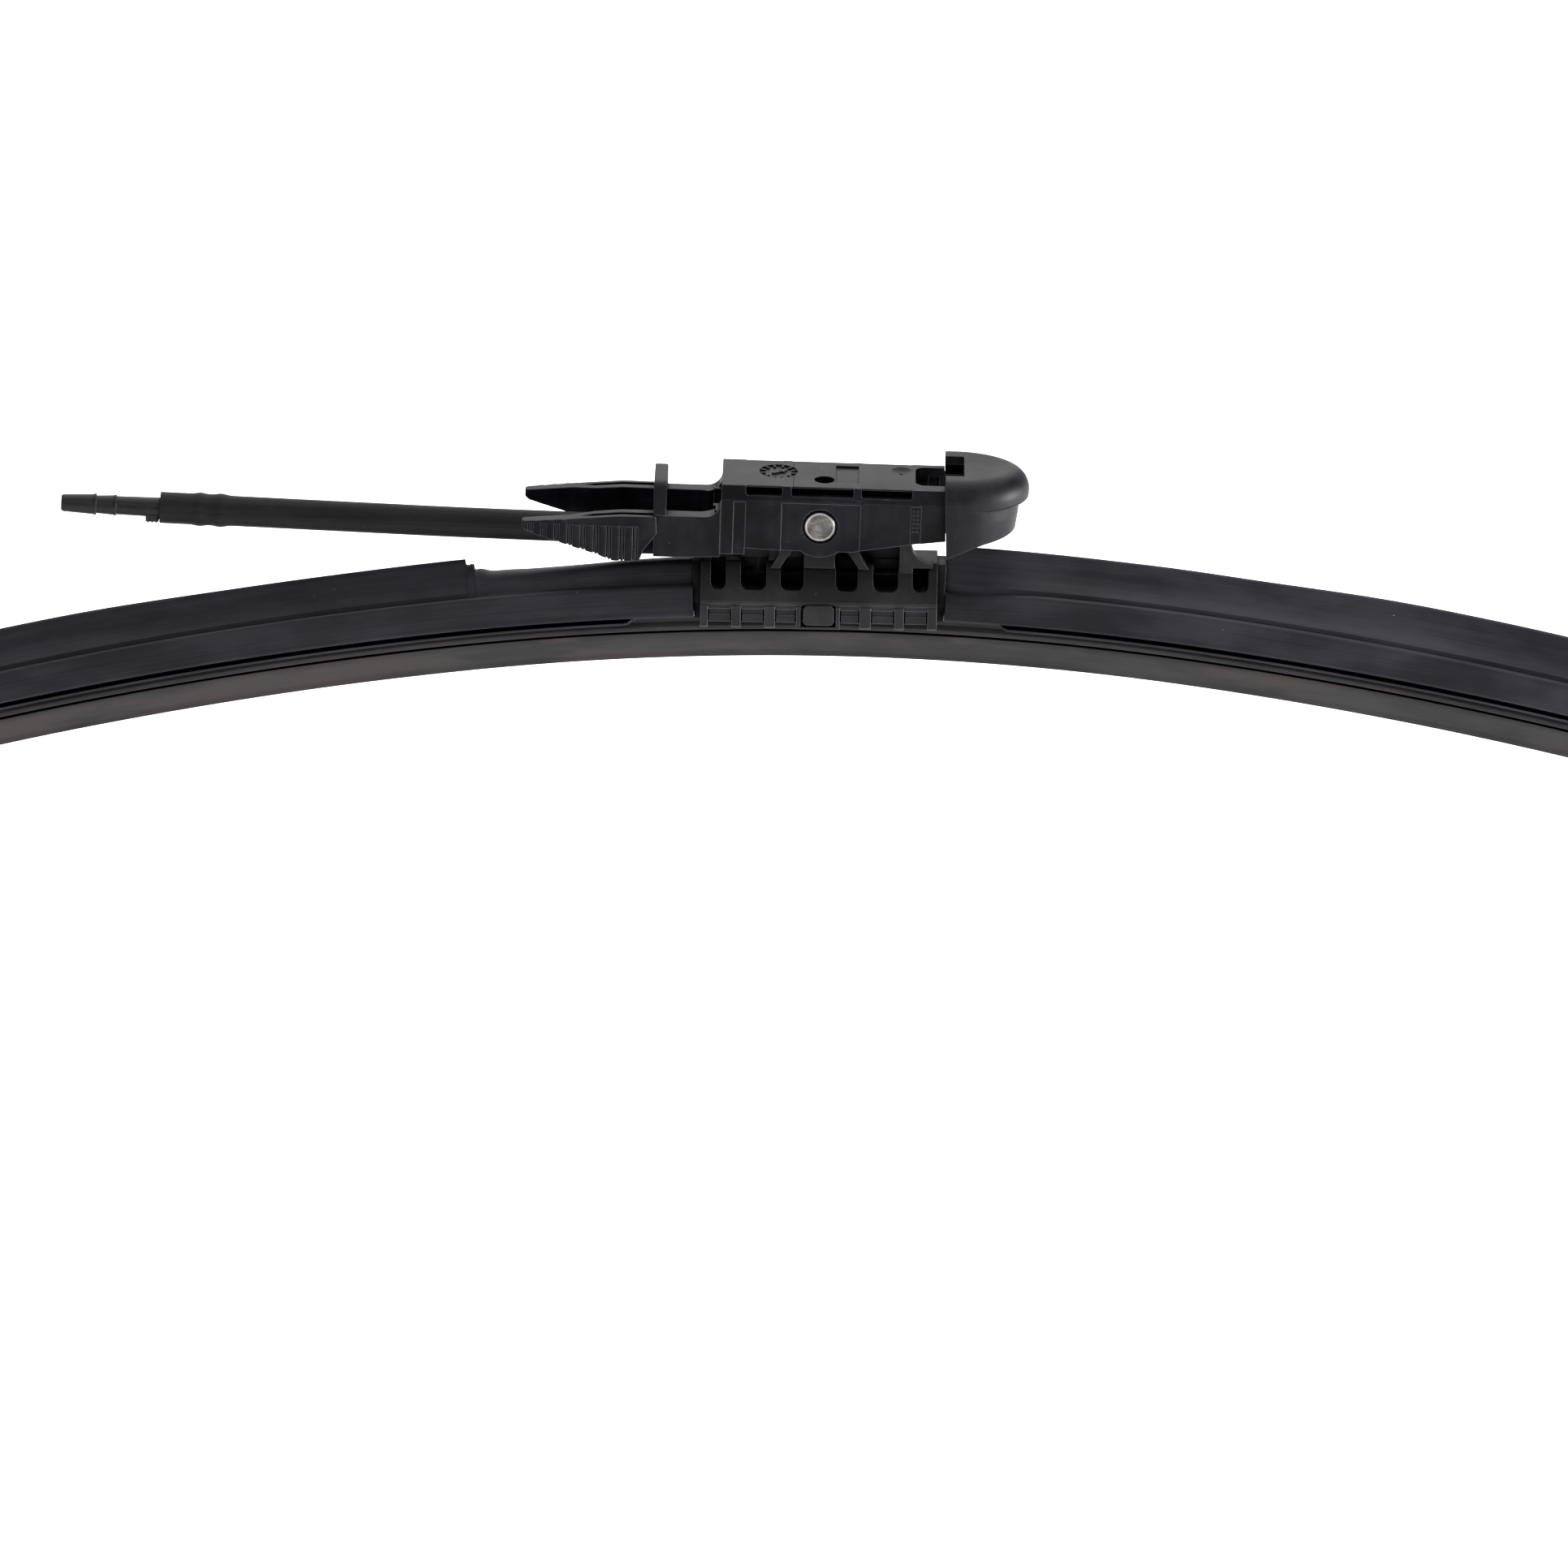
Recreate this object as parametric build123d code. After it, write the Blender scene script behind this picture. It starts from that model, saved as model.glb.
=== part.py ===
from build123d import *
import math
import os

os.makedirs("parts", exist_ok=True)

# Windshield wiper assembly: a flat (beam) wiper blade with its washer hose, hung by a pivot pin
# in the adapter that clips into the wiper arm. Millimetres. The origin is the centre of the
# pivot pin. +X runs towards the nose cap, -Y is the front, +Z points away from the glass.

# Pivot pin
PIN_RADIUS = 2.5
PIN_LENGTH = 15.0
PIN_CHAMFER = 0.35
PIN_RUNNING_GAP = 0.05
PIN_RECESS_RADIUS = 2.9
PIN_RECESS_DEPTH = 0.4

# Adapter: a channel that is open below
ADAPTER_LEFT = -15.9
ADAPTER_RIGHT = 20.09
END_LEAN = 0.046          # both faces where the nose cap meets the adapter lean by this slope
ADAPTER_HALF_WIDTH = 7.5
ADAPTER_TOP = 6.2
ADAPTER_FLAT_HALF = 6.0
CHAMFER_FOOT = 4.2
SHELF = 3.6               # floor of the latch window's shallow half
TONGUE = 6.7              # half width over the tongues that reach into the levers' roots
CHANNEL_HALF_WIDTH = 6.0
ROOF = 1.5
BOSS_RADIUS = 5.2
WALL_STEP = 0.15

# Nose cap
CAP_LEFT = 20.14
CAP_ARC_X = 21.5
CAP_NOSE = 33.4
CAP_SKIRT_NOSE = 31.8
CAP_SKIRT_DRAFT = 7.5
CAP_HALF_WIDTH = 9.7
CAP_TOP = 8.4
CAP_LIP = 3.7
CAP_WALL = 1.4
CAP_TOP_ROUND = 3.3
CAP_LIP_ROUND = 0.6

# Release levers
LEVER_RIGHT = -15.96
LEVER_TIP = -47.7
LEVER_TOP = 1.1
ROOT_ARC = -18.5
SLOT_TIP = -38.4
RIB_PITCH = 2.1
RIB_COUNT = 9
RIB_FIRST = -46.3
RIB_HALF_WIDTH = 0.19
RIB_GROOVE = 0.2
PAD_DOME = 0.16
PAD_CEILING = -0.65
HOOP_LEFT = -26.75
HOOP_RIGHT = -24.65
HOOP_TOP = 5.8
HOOP_HALF_GAP = 0.65

# Blade: its middle line is five tangent arcs in the XZ plane, measured at the rails
HALF_SPAN = 300.0
CENTRE_END = 60.0
SHOULDER_END = 160.0
CENTRE_BEND = 457.0
SHOULDER_BEND = 657.0
TIP_BEND = 957.0
REST_TILT = -0.91
RAIL_Z = -15.45
RAIL_THICKNESS = 0.9
RAIL_INNER = 1.0
RAIL_OUTER = 5.6
RAIL_END = 294.0
FIT_GAP = 0.05

# Spoilers and their end caps
SPOILER_END = 280.0
LEFT_SPOILER_FACE = -20.1
RIGHT_SPOILER_FACE = 20.2
FIN_CUT = -56.0
SKIRT_HALF_WIDTH = 7.8
DUCT_Y = 0.9
DUCT_Z = -11.4
DUCT_RADIUS = 1.2

# Bracket on the rails
BRACKET_HALF_LENGTH = 19.0
SPINE_TOP = -7.55
SPINE_HALF_WIDTH = 3.0
SPINE_CORE = 1.6
BRACKET_FOOT = -13.3
NECK_FOOT = -15.9
NECK_HALF = 2.45
CLAW_BOTTOM = -17.3
PAD_BOTTOM = -16.3
CLAW_HALF_WIDTH = 8.1
PAD_HALF_WIDTH = 7.85
PAD_STEP = 0.15
GROOVE = 0.25

# Washer hose, along the blade's left half
HOSE_RADIUS = 2.45
HOSE_BORE_RADIUS = 1.5
HOSE_ROUTE = [(-106.15, 0.0, -3.05), (-79.0, 0.5, -3.73), (-52.0, 0.3, -4.18), (-18.0, 0.0, -4.2)]
NIPPLE_RADIUS = 1.45
NIPPLE_INSERT = 8.0
NOZZLE_RADIUS = 1.45
NOZZLE_INSERT = 12.0
NOZZLE_REACH = 15.9
FLUID_RADIUS = 0.8


def box(x, y, z):
    """Block between a low and a high value on each axis."""
    middle = [(low + high) / 2 for low, high in (x, y, z)]
    return Pos(*middle) * Box(x[1] - x[0], y[1] - y[0], z[1] - z[0])


def mirrored(solid):
    """The same solid on the other side of the XZ plane."""
    return mirror(solid, about=Plane.XZ)


def long_prism(outline, x_low, x_high):
    """Solid with a (y, z) outline, along X."""
    face = make_face(Polyline([(x_low, y, z) for y, z in outline], close=True))
    return extrude(face, amount=x_high - x_low, dir=(1, 0, 0))


def side_prism(outline, y_low, y_high):
    """Solid with an (x, z) outline, along Y."""
    face = make_face(Polyline([(x, y_low, z) for x, z in outline], close=True))
    return extrude(face, amount=y_high - y_low, dir=(0, 1, 0))


def plan_prism(outline, z_low, z_high):
    """Solid with an (x, y) outline, along Z."""
    face = make_face(Polyline([(x, y, z_low) for x, y in outline], close=True))
    return extrude(face, amount=z_high - z_low, dir=(0, 0, 1))


def cross_cylinder(radius, length, x=0.0, z=0.0):
    """Cylinder along Y, centred on the XZ plane."""
    return Pos(x, 0, z) * Rot(90, 0, 0) * Cylinder(radius, length)


# ---------------------------------------------------------------- blade curve

def station(run):
    """Place of the blade's cross-section at an arc length from the middle, left negative."""
    side = math.copysign(1.0, run)
    x, z, turn, start = 0.0, RAIL_Z, 0.0, 0.0
    for end, bend in ((CENTRE_END, CENTRE_BEND), (SHOULDER_END, SHOULDER_BEND), (HALF_SPAN, TIP_BEND)):
        length = min(abs(run), end) - start
        if length <= 0:
            break
        after = turn + length / bend
        x += bend * (math.sin(after) - math.sin(turn))
        z -= bend * (math.cos(turn) - math.cos(after))
        turn = after
        start = end
    return Location((side * x, 0, z), (0, side * math.degrees(turn), 0)) * Location((0, 0, -RAIL_Z))


def along_blade(section, first, last):
    """Sweep a YZ section along the blade between two arc lengths, one revolved piece per arc."""
    arcs = (
        (-HALF_SPAN, -SHOULDER_END, TIP_BEND),
        (-SHOULDER_END, -CENTRE_END, SHOULDER_BEND),
        (-CENTRE_END, CENTRE_END, CENTRE_BEND),
        (CENTRE_END, SHOULDER_END, SHOULDER_BEND),
        (SHOULDER_END, HALF_SPAN, TIP_BEND),
    )
    swept = None
    for low, high, bend in arcs:
        start, end = max(first, low), min(last, high)
        if end <= start:
            continue
        place = station(start)
        centre = (place * Location((0, 0, RAIL_Z - bend))).position
        piece = revolve(place * section, Axis(centre, (0, 1, 0)), math.degrees((end - start) / bend))
        swept = piece if swept is None else swept + piece
    return swept


def tilted(solid):
    """Turn a solid of the blade from its own frame to the angle it rests at on the pin."""
    return Rot(0, REST_TILT, 0) * solid


# ------------------------------------------------------------- blade sections

def section(edges):
    """Face in the YZ plane from a closed chain of edges."""
    return make_face(edges)


def chain(points):
    """Straight edges through (y, z) points in the YZ plane."""
    return Polyline([(0, y, z) for y, z in points])


def arc(first, middle, last):
    """Arc through three (y, z) points in the YZ plane."""
    return ThreePointArc(*[(0, y, z) for y, z in (first, middle, last)])


HOOK_INNER = 4.4
HOOK_BOTTOM = -16.4
RAIL_SLOT = RAIL_OUTER + FIT_GAP
RAIL_SLOT_LOW = RAIL_Z - RAIL_THICKNESS / 2 - FIT_GAP
RAIL_SLOT_HIGH = RAIL_Z + RAIL_THICKNESS / 2 + FIT_GAP
HEAD_ROOM = (3.2, -13.7)


def skirt_points(side):
    """Outside of one skirt from the hook's bottom up to its shoulder."""
    half = SKIRT_HALF_WIDTH
    outline = [
        (HOOK_INNER, HOOK_BOTTOM),
        (half - 0.9, HOOK_BOTTOM),
        (half - 0.8, -15.5),
        (half - 1.05, -15.35),
        (half, -15.15),
        (half, -14.8),
    ]
    return [(side * y, z) for y, z in outline]


def rail_slots():
    """Inside of a spoiler: two slots that hold the rails, and room for the rubber's head."""
    right = [
        (HOOK_INNER, HOOK_BOTTOM),
        (HOOK_INNER, RAIL_SLOT_LOW),
        (RAIL_SLOT, RAIL_SLOT_LOW),
        (RAIL_SLOT, RAIL_SLOT_HIGH),
        (HEAD_ROOM[0], RAIL_SLOT_HIGH),
        HEAD_ROOM,
    ]
    left = [(-y, z) for y, z in reversed(right)]
    return chain(right + left)


def fin_section():
    """Spoiler with its full fin: a hollow front face and a rounded back."""
    front = skirt_points(-1) + [(-5.5, -10.8), (-4.5, -10.85), (-3.9, -11.1), (-3.2, -10.6)]
    fin_face = arc((-3.2, -10.6), (-0.6, -8.75), (1.1, -6.1))
    tip = arc((1.1, -6.1), (1.5, -5.9), (1.9, -6.1))
    back = arc((1.9, -6.1), (5.1, -10.3), (SKIRT_HALF_WIDTH, -14.8))
    rear = list(reversed(skirt_points(1)))
    return section([chain(front), fin_face, tip, back, chain(rear), rail_slots()])


def round_section():
    """Spoiler without its fin, where the hose lies: a rounded back between the shoulders."""
    shoulder = [(5.5, -10.9), (3.6, -11.0), (3.05, -10.5)]
    front = skirt_points(-1) + [(-y, z) for y, z in shoulder]
    crown = arc((-3.05, -10.5), (0, -8.6), (3.05, -10.5))
    rear = list(reversed(shoulder)) + list(reversed(skirt_points(1)))
    return section([chain(front), crown, chain(rear), rail_slots()])


def duct_section(radius):
    """Round section of the washer duct in the spoilers."""
    return Plane.YZ * Pos(DUCT_Y, DUCT_Z) * Circle(radius)


def spoiler_left():
    """Rubber spoiler of the left half, its fin cut away under the hose."""
    body = along_blade(fin_section(), -SPOILER_END, FIN_CUT)
    body += along_blade(round_section(), FIN_CUT, LEFT_SPOILER_FACE)
    return body - along_blade(duct_section(DUCT_RADIUS), -SPOILER_END, LEFT_SPOILER_FACE)


def spoiler_right():
    """Rubber spoiler of the right half."""
    body = along_blade(fin_section(), RIGHT_SPOILER_FACE, SPOILER_END)
    return body - along_blade(duct_section(DUCT_RADIUS), RIGHT_SPOILER_FACE, SPOILER_END)


def rail(side):
    """Spring-steel rail that gives the blade its curve."""
    low, high = RAIL_Z - RAIL_THICKNESS / 2, RAIL_Z + RAIL_THICKNESS / 2
    outline = [(RAIL_INNER, low), (RAIL_OUTER, low), (RAIL_OUTER, high), (RAIL_INNER, high)]
    outline = [(side * y, z) for y, z in outline]
    return along_blade(section([chain(outline + outline[:1])]), -RAIL_END, RAIL_END)


def rubber_element():
    """Squeegee: head above the rails, flange below them, hinge neck, wedge and wiping lip."""
    right = [
        (2.6, -14.0),
        (2.6, RAIL_SLOT_HIGH),
        (RAIL_INNER - FIT_GAP, RAIL_SLOT_HIGH),
        (RAIL_INNER - FIT_GAP, RAIL_SLOT_LOW),
        (2.3, RAIL_SLOT_LOW),
        (2.3, -18.1),
        (3.0, -18.6),
        (3.0, -19.3),
        (0.55, -19.3),
        (0.55, -19.9),
        (2.3, -19.9),
        (2.1, -20.7),
        (0.35, -24.0),
        (0.35, -24.95),
    ]
    left = [(-y, z) for y, z in reversed(right)]
    return along_blade(section([chain(right + left + right[:1])]), -HALF_SPAN, HALF_SPAN)


def end_cap(side):
    """Moulded cap that closes the spoiler at a tip and keeps the rails in."""
    front = [(-4.4, -16.9), (-7.6, -16.9), (-8.3, -16.2), (-8.3, -14.8), (-6.0, -10.6), (-3.5, -10.2)]
    face = arc((-3.5, -10.2), (-0.9, -8.3), (0.8, -5.7))
    tip = arc((0.8, -5.7), (1.5, -5.3), (2.2, -5.7))
    back = arc((2.2, -5.7), (5.6, -10.1), (8.3, -14.8))
    rear = [(8.3, -14.8), (8.3, -16.2), (7.6, -16.9), (4.4, -16.9), (4.4, -15.95)]
    floor = [(4.4, -15.95), (5.65, -15.95), (5.65, -14.95), (3.2, -14.95), (3.2, -13.7)]
    roof = [(-y, z) for y, z in reversed(floor)]
    outer = section([chain(front), face, tip, back, chain(rear), chain(floor + roof + [(-4.4, -16.9)])])
    first, last = SPOILER_END + 0.1, HALF_SPAN - 0.5
    span = (first, last) if side > 0 else (-last, -first)
    body = along_blade(outer, *span)
    place = station(side * last)
    slope = Pos(0, 0, -2.0) * Rot(0, side * 28.0, 0) * Pos(side * 20, 0, 10.0) * Box(60, 40, 20)
    body -= place * slope
    plug = [(4.3, -16.85), (4.3, -15.95), (5.6, -15.95), (5.6, -14.95), (3.15, -14.95), (3.15, -13.75)]
    closing = chain(plug + [(-y, z) for y, z in reversed(plug)] + plug[:1])
    wall = (RAIL_END + 0.5, last) if side > 0 else (-last, -RAIL_END - 0.5)
    filler = along_blade(section([closing]), *wall)
    neck = [(2.7, -17.5), (2.7, -13.95), (-2.7, -13.95), (-2.7, -17.5), (2.7, -17.5)]
    return body + filler - along_blade(section([chain(neck)]), *wall)


def duct_plug(side):
    """Push-in plug that closes the washer duct at a tip."""
    first, last = SPOILER_END - 6.0, SPOILER_END
    span = (first, last) if side > 0 else (-last, -first)
    return along_blade(duct_section(DUCT_RADIUS - FIT_GAP), *span)


# ------------------------------------------------------------ bracket and clamps

def rail_room(grow):
    """Space of the rails and of the rubber's head through the bracket, grown all round."""
    low, high = RAIL_Z - RAIL_THICKNESS / 2 - grow, RAIL_Z + RAIL_THICKNESS / 2 + grow
    wide, head, top = RAIL_OUTER + grow, 2.6 + grow, -14.0 + grow
    outline = [(wide, low), (wide, high), (head, high), (head, top)]
    outline += [(-y, z) for y, z in reversed(outline)]
    span = BRACKET_HALF_LENGTH + 2
    return along_blade(section([chain(outline + outline[:1])]), -span, span)


def hood(shrink):
    """Outline of the bracket's hood: a flat spine between two sloped sides."""
    half = [(7.9, BRACKET_FOOT), (7.9, -12.8), (3.5, -7.75), (SPINE_HALF_WIDTH, SPINE_TOP)]
    half = [(y - shrink, z - shrink) for y, z in half]
    return half + [(-y, z) for y, z in reversed(half)]


def bracket_windows():
    """Openings through both sloped sides, round at their lower corners."""
    spans = [(-17.4, -15.0), (-12.6, -8.5), (-6.2, -2.5), (2.7, 6.2), (8.7, 12.7), (15.0, 17.6)]
    cuts = None
    for low, high in spans:
        outline = Plane.XZ * Pos((low + high) / 2, -9.1) * RectangleRounded(high - low, 4.4, 1.0)
        cut = extrude(outline, amount=10, both=True)
        cuts = cut if cuts is None else cuts + cut
    return cuts - box((-20, 20), (-SPINE_CORE, SPINE_CORE), (-20, 0)) - box((-20, 20), (0, 10), (-8.2, 0))


def bracket_tower():
    """Boss round the pin on a neck, with its gussets and the stop post at the right."""
    neck = [(4.2, 0), (3.9, -3.5), (NECK_HALF, -6.0), (NECK_HALF, -8.2)]
    neck = side_prism(neck + [(-x, z) for x, z in reversed(neck)], -4.4, 4.4)
    tower = cross_cylinder(4.2, 10.0) + cross_cylinder(3.3, 2 * CHANNEL_HALF_WIDTH - 0.3) + neck
    for side in (-1, 1):
        for y in (-3.75, 3.75):
            strip = [(4.0, -4.5), (5.7, -4.5), (7.9, -8.3), (6.4, -8.3)]
            tower += side_prism([(side * x, z) for x, z in strip], y - 0.75, y + 0.75)
    post = make_face([
        Polyline(
            (18.2, -4.4, -7.2), (18.2, -4.4, -7.9), (15.0, -4.4, -7.9), (15.0, -4.4, -9.0),
            (12.9, -4.4, -9.0), (12.9, -4.4, -3.2),
        ),
        Line((12.9, -4.4, -3.2), (14.8, -4.4, -3.2)),
        ThreePointArc((14.8, -4.4, -3.2), (15.7, -4.4, -6.1), (18.2, -4.4, -7.2)),
    ])
    web = box((4.0, 13.0), (-1.2, 1.2), (-8.0, -4.0))
    return tower + web + extrude(post, amount=1.6, dir=(0, 1, 0))


def bracket_neck(first, last):
    """Smaller end of the bracket that reaches to a spoiler's face and down to the rails."""
    half = [(6.3, NECK_FOOT), (6.3, -13.1), (2.4, -8.1), (2.1, -7.7)]
    outline = half + [(-y, z) for y, z in reversed(half)]
    return along_blade(section([chain(outline + outline[:1])]), first, last)


def snap_tabs():
    """Tabs that reach down from the bracket and latch in the clamps' windows."""
    core = box((-2.0, 2.0), (6.85, 7.85), (-16.4, -13.0))
    plate = Plane.XZ * Pos(0, -14.95) * RectangleRounded(4.9, 3.3, 0.7)
    tab = core + Pos(0, 7.8, 0) * extrude(plate, amount=-0.45)
    return tab + mirrored(tab)


def center_bracket():
    """Plastic bracket that carries the pin and sits on the rails."""
    length = BRACKET_HALF_LENGTH
    body = long_prism(hood(0), -length, length) - long_prism(hood(1.5), 1.2 - length, length - 1.2)
    body -= box((-17.8, 17.8), (-6.4, 6.4), (-14, -12.8))
    body -= bracket_windows()
    for x in (-13.8, -7.35, 7.45, 13.85):
        body += long_prism(hood(0.4), x - 0.5, x + 0.5) - box((x - 1, x + 1), (-2.6, 2.6), (-14, -9.2))
    body += bracket_neck(LEFT_SPOILER_FACE + 0.1, 1 - length)
    body += bracket_neck(length - 1, RIGHT_SPOILER_FACE - 0.1)
    body -= box((-length - FIT_GAP, length + FIT_GAP), (-10, 10), (-20, BRACKET_FOOT))
    body += bracket_tower() + snap_tabs()
    body -= cross_cylinder(PIN_RADIUS, 20)
    body -= Pos(RISER_X, 0, -8) * Cylinder(RISER_RADIUS + FIT_GAP, 6)
    for first, last in ((-21, -16), (16, 21)):
        body -= along_blade(duct_section(DUCT_RADIUS + FIT_GAP), first, last)
    return body - rail_room(FIT_GAP)


def rail_clamp(side):
    """Comb of claws that hooks under one rail and is latched by the bracket's tab."""
    wall = [(5.9, -13.35), (7.85, -13.35), (7.85, PAD_BOTTOM), (5.7, PAD_BOTTOM), (5.7, -15.5), (4.6, -15.5)]
    wall += [(4.6, -13.9)]
    comb = long_prism(wall, -BRACKET_HALF_LENGTH, BRACKET_HALF_LENGTH)
    claws = [(-19.0, -17.8), (-14.0, -12.5), (-8.7, -7.0), (-3.6, -2.9), (2.8, 3.4), (6.6, 8.4)]
    claws += [(12.2, 13.7), (17.5, 19.0)]
    for low, high in claws:
        claw = box((low, high), (4.4, CLAW_HALF_WIDTH), (CLAW_BOTTOM, -16.2))
        claw += box((low, high), (7.7, CLAW_HALF_WIDTH), (CLAW_BOTTOM, -13.6))
        outer = claw.edges().filter_by(Axis.X).group_by(Axis.Z)[0].sort_by(Axis.Y)[-1]
        comb += chamfer(outer, 0.3)
    comb += box((-3.6, 3.4), (5.7, CLAW_HALF_WIDTH), (CLAW_BOTTOM, -16.95))
    for (_, left), (right, _) in zip(claws, claws[1:]):
        for low, high in ((left, left + GROOVE), (right - GROOVE, right)):
            comb -= box((low, high), (PAD_HALF_WIDTH - 0.5, 9), (-16.2, -14.1))
        comb -= box((left + GROOVE, right - GROOVE), (PAD_HALF_WIDTH - PAD_STEP, 9), (-15.0, -14.1))
    comb -= box((-2.75, 2.7), (6.75, 9), (-16.9, -13))
    comb -= rail_room(FIT_GAP)
    return comb if side > 0 else mirrored(comb)


# --------------------------------------------------------------- washer parts

RISER_X = -9.8
RISER_RADIUS = 1.6
GALLERY_RADIUS = 1.05
SPOUT_BORE_RADIUS = 0.6


def run_location(start, end):
    """Location at start with its Z axis pointing to end."""
    return Plane(origin=start, z_dir=Vector(*end) - Vector(*start)).location


def hose_path():
    """Middle line of the hose: straight runs joined by tangent arcs."""
    points = [Vector(*point) for point in HOSE_ROUTE]
    radii = []
    for before, here, after in zip(points, points[1:], points[2:]):
        first, second = here - before, after - here
        turn = math.radians(first.get_angle(second))
        radii.append(0.45 * min(first.length, second.length) / math.tan(turn / 2))
    print("hose bend radii", [round(radius) for radius in radii])
    return FilletPolyline(*points, radius=radii)


def washer_hose():
    """Rubber hose from the manifold to the connector."""
    path = hose_path()
    start = Plane(origin=path @ 0, z_dir=path % 0)
    tube = sweep(start * (Circle(HOSE_RADIUS) - Circle(HOSE_BORE_RADIUS)), path=path)
    ring = math.pi * (HOSE_RADIUS ** 2 - HOSE_BORE_RADIUS ** 2)
    print("hose length", round(path.length, 2), "volume ratio", round(tube.volume / ring / path.length, 4))
    return tube


def turned(outline, place):
    """Solid of revolution from (radius, height) points about the Z axis of a place."""
    face = make_face(Polyline([(radius, 0, height) for radius, height in outline], close=True))
    return place * revolve(face, Axis.Z, 360)


def hose_connector():
    """Barbed nozzle that joins the hose to the arm's washer line."""
    place = run_location(HOSE_ROUTE[0], [2 * a - b for a, b in zip(HOSE_ROUTE[0], HOSE_ROUTE[1])])
    outline = [
        (FLUID_RADIUS, -NOZZLE_INSERT),
        (1.2, -NOZZLE_INSERT),
        (1.7, -9.0),
        (NOZZLE_RADIUS, -8.9),
        (1.7, -5.8),
        (NOZZLE_RADIUS, -5.7),
        (NOZZLE_RADIUS, 0.05),
        (1.6, 0.05),
        (1.5, 7.0),
        (1.75, 7.1),
        (1.6, 7.6),
        (1.45, 10.2),
        (1.8, 10.3),
        (1.65, 10.8),
        (1.4, NOZZLE_REACH - 0.3),
        (1.2, NOZZLE_REACH),
        (FLUID_RADIUS, NOZZLE_REACH),
    ]
    nozzle = turned(outline, place)
    lug = box((-108.45, -106.35), (-1.0, 1.0), (-5.2, -4.0))
    for x in (-108.05, -107.4, -106.75):
        lug += box((x - 0.12, x + 0.12), (-1.1, 1.1), (-5.32, -4.0))
    bore = place * Pos(0, 0, 1) * Cylinder(1.2, 40)
    return nozzle + (lug - bore)


def washer_manifold():
    """Splitter under the spine: one nipple for the hose, one spout for each spoiler's duct."""
    place = run_location(HOSE_ROUTE[-1], HOSE_ROUTE[-2])
    block = box((-16.6, 16.6), (-1.7, 2.4), (-13.3, -10.0))
    block += Pos(RISER_X, 0, -7.5) * Cylinder(RISER_RADIUS, 6)
    block += box((-12.7, -8.2), (-1.8, 1.8), (-7.45, -2.2))
    block += along_blade(duct_section(DUCT_RADIUS - FIT_GAP), -26, -16)
    block += along_blade(duct_section(DUCT_RADIUS - FIT_GAP), 16, 26)
    outline = [(0, -7.5), (1.6, -7.5), (NIPPLE_RADIUS, -0.5), (NIPPLE_RADIUS, NIPPLE_INSERT - 3)]
    outline += [(1.7, NIPPLE_INSERT - 2.9), (1.15, NIPPLE_INSERT), (0, NIPPLE_INSERT)]
    tilt = Location(Rot(0, -REST_TILT, 0))
    block += tilt * turned(outline, place)
    block -= Pos(0, DUCT_Y, DUCT_Z - 0.25) * Rot(0, 90, 0) * Cylinder(GALLERY_RADIUS, 31)
    for first, last in ((-27, -15), (15, 27)):
        block -= along_blade(duct_section(SPOUT_BORE_RADIUS), first, last)
    block -= Pos(RISER_X, 0.3, -7.7) * Cylinder(FLUID_RADIUS + 0.1, 7.6)
    block -= tilt * place * Pos(0, 0, 1.5) * Cylinder(FLUID_RADIUS, 20)
    return block


# -------------------------------------------------------------------- adapter

def adapter_outline(half, step=0.0):
    """Channel section of the adapter with sides at a half width, as (y, z) points."""
    edge = half - step
    right = [(edge, -8), (edge, CHAMFER_FOOT), (ADAPTER_FLAT_HALF, ADAPTER_TOP)]
    return right + [(-y, z) for y, z in reversed(right)]


def end_at(middle, z):
    """Place of a leaning end face at a height, from its place at the pin's height."""
    return middle - END_LEAN * z


def wall_silhouette():
    """Side view of the adapter body: end pads, two raised panels and the sloped right end."""
    return [
        (ADAPTER_LEFT, ADAPTER_TOP),
        (ADAPTER_LEFT, -5.1),
        (-12.0, -5.1),
        (-12.0, -3.95),
        (-6.2, -4.2),
        (5.6, -4.2),
        (6.4, -3.9),
        (14.5, -2.55),
        (end_at(ADAPTER_RIGHT, -1.8), -1.8),
        (end_at(ADAPTER_RIGHT, ADAPTER_TOP), ADAPTER_TOP),
    ]


def adapter_walls():
    """Outside of the adapter body before it is hollowed."""
    step = WALL_STEP
    full = long_prism(adapter_outline(ADAPTER_HALF_WIDTH), ADAPTER_LEFT, ADAPTER_RIGHT + 1)
    low = long_prism(adapter_outline(ADAPTER_HALF_WIDTH, step), ADAPTER_LEFT, ADAPTER_RIGHT + 1)
    raised = box((-12.0, -6.2), (-8, 8), (-6, 7)) + box((6.4, 14.5), (-8, 8), (-6, 7))
    raised += box((16.1, 22), (-8, 8), (-6, 7))
    raised += box((ADAPTER_LEFT, -13.9), (-8, 8), (-6, 7)) + box((-20, 30), (-8, 8), (3.9, 7))
    body = (low + (full & raised)) & side_prism(wall_silhouette(), -8, 8)
    boss = cross_cylinder(BOSS_RADIUS, 2 * (ADAPTER_HALF_WIDTH - step)) & box((-6, 6), (-8, 8), (-6, 3.9))
    return body + boss


def chamfer_slots():
    """Three deep slots along the upper half of each chamfer, cut level into the roof."""
    cuts = None
    for low, high in ((-12.0, -6.2), (-4.75, 5.2), (6.5, 14.6)):
        outline = Plane.XZ * Pos((low + high) / 2, 5.4) * RectangleRounded(high - low, 1.0, 0.3)
        cut = Pos(0, 8.0, 0) * extrude(outline, amount=3.4) + box((low, high), (5.85, 8.0), (5.3, 7))
        cut += mirrored(cut)
        cuts = cut if cuts is None else cuts + cut
    return cuts


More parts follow.
